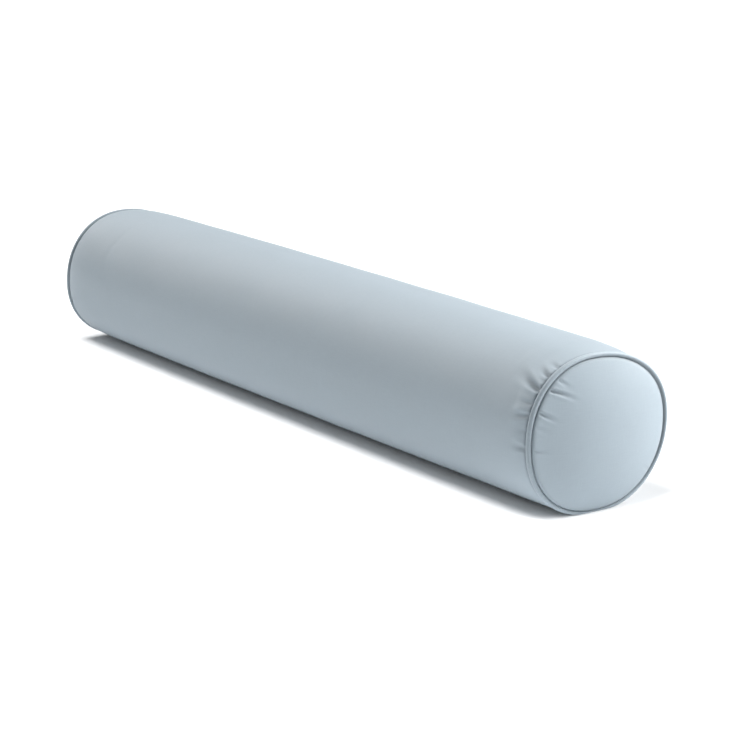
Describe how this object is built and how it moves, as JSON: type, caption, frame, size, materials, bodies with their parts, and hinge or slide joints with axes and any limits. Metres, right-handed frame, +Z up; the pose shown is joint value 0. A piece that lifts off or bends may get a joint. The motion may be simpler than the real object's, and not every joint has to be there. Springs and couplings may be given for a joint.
{
  "type": "bolster pillow",
  "caption": "Long round bolster pillow: piped cover with domed ends and a back zip, over a lined, wadding-wrapped foam core.",
  "frame": {"origin": "on the floor, under the middle of the pillow, at the centre of the flat strip that it lies on", "axes": "+X along the pillow towards its right end, +Y towards the back, where the zip is, +Z up"},
  "size_m": [1.128, 0.2127, 0.1903],
  "materials": {
    "cover_fabric": "satin",
    "piping_filler": "matte",
    "liner_cotton": "matte",
    "wadding": "matte",
    "core_foam": "matte",
    "zip_tape": "matte",
    "zip_teeth": "satin",
    "zip_metal": "satin",
    "label_tape": "matte"
  },
  "bodies": {
    "bolster": {"cover_body": "cover_fabric", "left_end_panel": "cover_fabric", "right_end_panel": "cover_fabric", "left_piping_welt": "cover_fabric", "right_piping_welt": "cover_fabric", "left_piping_cord": "piping_filler", "right_piping_cord": "piping_filler", "liner_body": "liner_cotton", "liner_left_end": "liner_cotton", "liner_right_end": "liner_cotton", "wadding_wrap": "wadding", "wadding_left_pad": "wadding", "wadding_right_pad": "wadding", "foam_core": "core_foam", "zip_tape_upper": "zip_tape", "zip_tape_lower": "zip_tape", "zip_coil_upper": "zip_teeth", "zip_coil_lower": "zip_teeth", "zip_top_stop_upper": "zip_metal", "zip_top_stop_lower": "zip_metal", "zip_bottom_stop": "zip_metal", "care_label": "label_tape"},
    "zip_slider": {"zip_slider": "zip_metal"},
    "zip_pull": {"zip_pull_tab": "zip_metal"}
  },
  "joints": [
    {"name": "zip_slide", "type": "slide", "parent": "bolster", "child": "zip_slider", "axis": [1, 0, 0], "range_m": [0, 0.744]},
    {"name": "pull_swing", "type": "hinge", "parent": "zip_slider", "child": "zip_pull", "pos_m": [-0.372, 0.106, 0.094], "axis": [0, 0, 1], "range_deg": [0, 180]}
  ]
}
